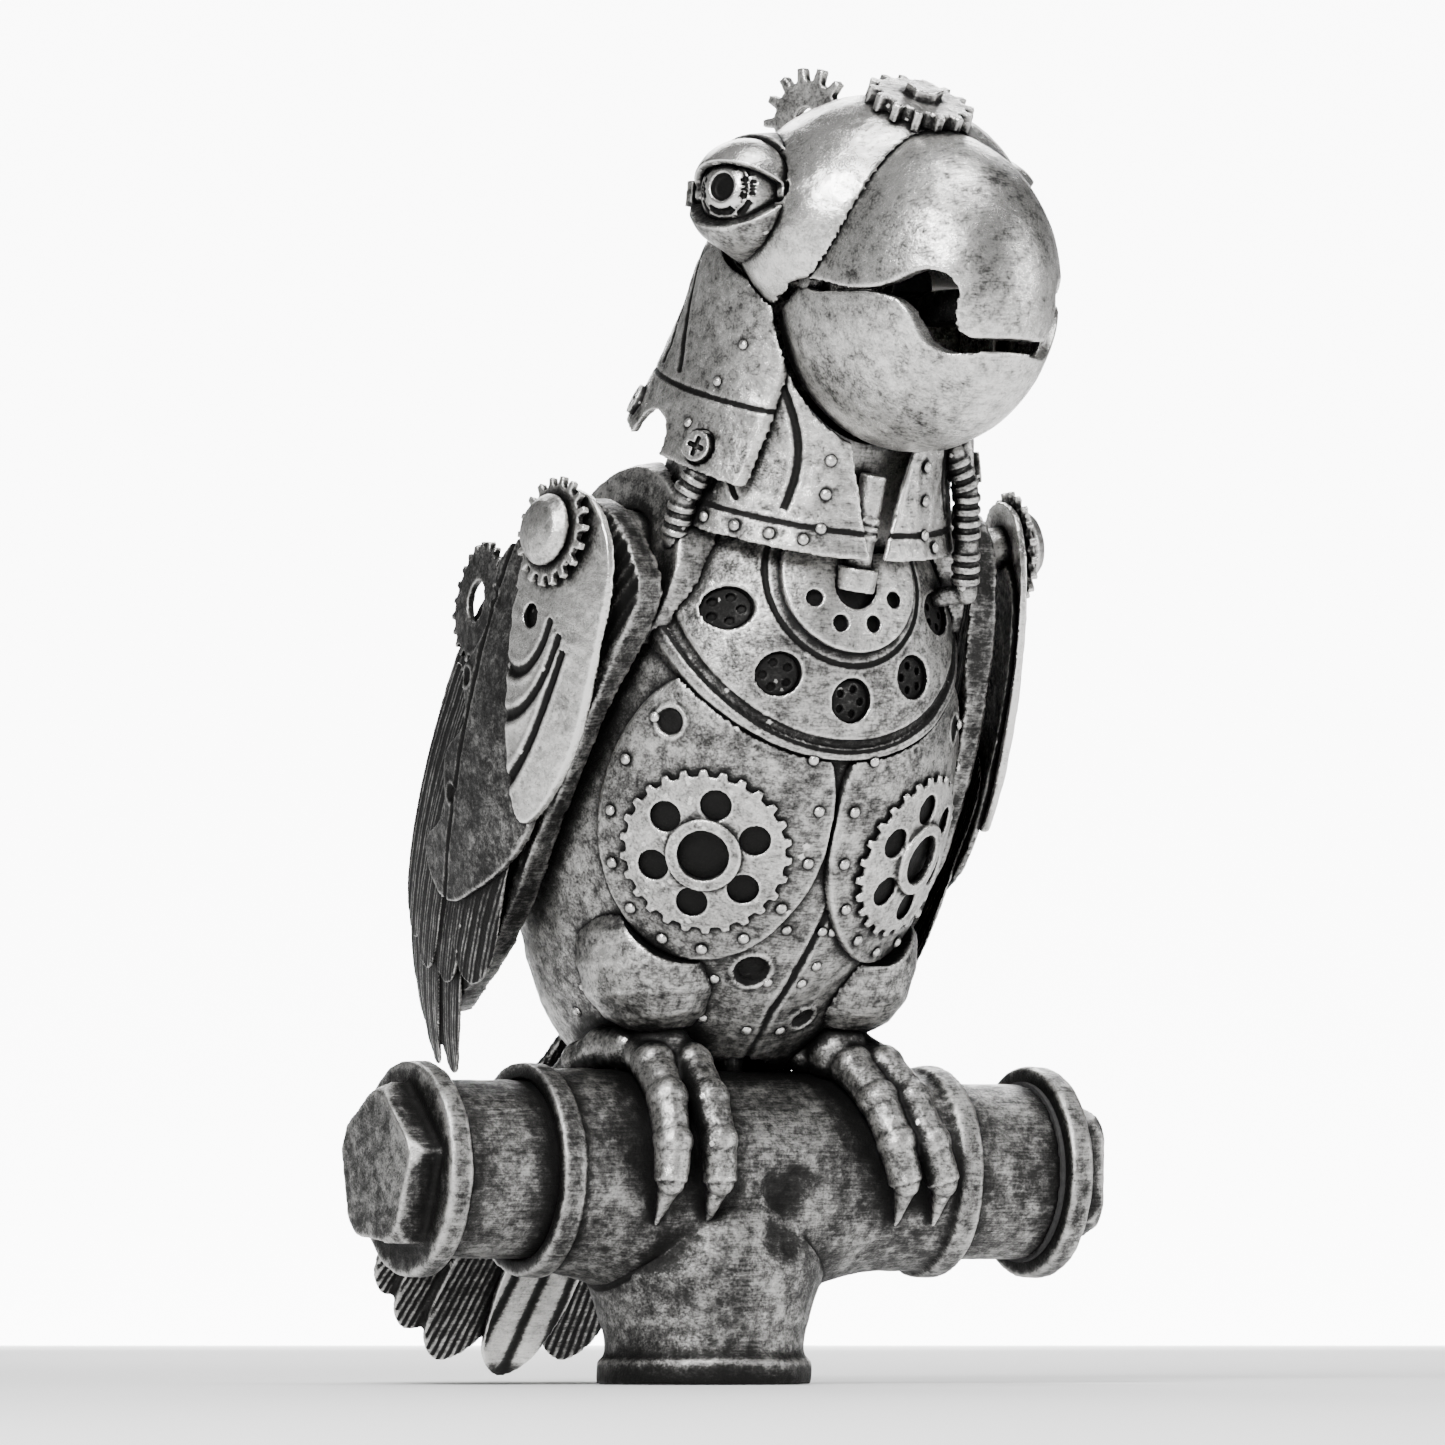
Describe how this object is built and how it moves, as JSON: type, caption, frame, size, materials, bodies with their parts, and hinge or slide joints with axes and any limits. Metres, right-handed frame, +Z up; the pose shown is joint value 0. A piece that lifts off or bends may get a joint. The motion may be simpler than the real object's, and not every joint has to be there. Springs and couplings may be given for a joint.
{
  "type": "clockwork parrot figure on a pipe tee",
  "caption": "Clockwork parrot figure with hinged beak, eyelids and wings, perched on a pipe tee whose run is closed by caps with five-sided nuts.",
  "frame": {"origin": "centre of the mouth of the tee's lower branch, on the plane the object stands on", "axes": "+Z up the branch and the bird, the pipe run along X, the bird faces -Y, metres"},
  "size_m": [0.1882, 0.2469, 0.3101],
  "materials": {
    "silver": "antique silver, dark wash in the hollows, dry-brushed edges",
    "dark_silver": "darker antique silver",
    "feather_silver": "antique silver with fine ribs",
    "gear_silver": "bright rubbed silver",
    "fastener": "worn steel",
    "hose": "banded, dark between the bands",
    "eye": "bright ball with a dark pupil",
    "iron": "pewter-coloured, pitted and scratched",
    "gasket": "matt"
  },
  "bodies": {
    "bird_and_perch": {"back_gear": "gear_silver", "back_plate": "silver", "bib_cap": "gear_silver", "bib_inserts": "fastener", "bib_plate": "silver", "breast_gear_left": "gear_silver", "breast_gear_right": "gear_silver", "breast_plate_left": "silver", "breast_plate_right": "silver", "crest_gear": "gear_silver", "eye_socket_left": "silver", "eye_socket_right": "silver", "eyeball_left": "eye", "eyeball_right": "eye", "fasteners": "fastener", "foot_left": "silver", "foot_right": "silver", "gasket_left": "gasket", "gasket_right": "gasket", "head_cogs": "gear_silver", "hose_left": "hose", "hose_right": "hose", "jaw_pin": "fastener", "mast": "fastener", "neck_cape": "silver", "neck_core": "dark_silver", "neck_shell": "dark_silver", "nipple_left": "iron", "nipple_right": "iron", "pipe_tee": "iron", "shoulder_bolt_left": "gear_silver", "shoulder_bolt_right": "gear_silver", "shoulders": "silver", "skull": "silver", "tail_center": "feather_silver", "tail_left": "feather_silver", "tail_right": "feather_silver", "thigh_left": "silver", "thigh_right": "silver", "throat_rod": "gear_silver", "tongue": "dark_silver", "trunk_shell": "silver", "upper_beak": "silver"},
    "cap_left": {"cap_left": "iron"},
    "cap_right": {"cap_right": "iron"},
    "jaw": {"lower_beak": "silver"},
    "eyelid_left": {"eyelid_left": "silver"},
    "eyelid_right": {"eyelid_right": "silver"},
    "wing_left": {"primaries_left": "feather_silver", "secondaries_left": "feather_silver", "shoulder_gear_left": "gear_silver", "wing_base_left": "feather_silver", "wing_cover_left": "feather_silver", "wing_under_left": "feather_silver"},
    "wing_right": {"primaries_right": "feather_silver", "secondaries_right": "feather_silver", "shoulder_gear_right": "gear_silver", "wing_base_right": "feather_silver", "wing_cover_right": "feather_silver", "wing_under_right": "feather_silver"}
  },
  "joints": [
    {"name": "cap_left_turn", "type": "hinge", "parent": "bird_and_perch", "child": "cap_left", "pos_m": [-0.0726, 0, 0.051], "axis": [-1, 0, 0], "continuous": true},
    {"name": "cap_right_turn", "type": "hinge", "parent": "bird_and_perch", "child": "cap_right", "pos_m": [0.0856, 0, 0.051], "axis": [1, 0, 0], "continuous": true},
    {"name": "jaw_hinge", "type": "hinge", "parent": "bird_and_perch", "child": "jaw", "pos_m": [0.01113, -0.0784, 0.2575], "axis": [0.9848, 0.1736, 0], "range_deg": [0, 15]},
    {"name": "eyelid_left_hinge", "type": "hinge", "parent": "bird_and_perch", "child": "eyelid_left", "pos_m": [-0.0265, -0.07234, 0.278], "axis": [0.4511, -0.892, -0.0303], "range_deg": [0, 60]},
    {"name": "eyelid_right_hinge", "type": "hinge", "parent": "bird_and_perch", "child": "eyelid_right", "pos_m": [0.04441, -0.05984, 0.278], "axis": [0.1188, 0.9925, 0.0303], "range_deg": [0, 60]},
    {"name": "wing_left_hinge", "type": "hinge", "parent": "bird_and_perch", "child": "wing_left", "pos_m": [-0.04512, -0.02819, 0.19903], "axis": [0.9764, 0.1589, -0.1465], "range_deg": [0, 20]},
    {"name": "wing_right_hinge", "type": "hinge", "parent": "bird_and_perch", "child": "wing_right", "pos_m": [0.05812, -0.02819, 0.19903], "axis": [0.9764, -0.1589, 0.1465], "range_deg": [0, 20]}
  ]
}
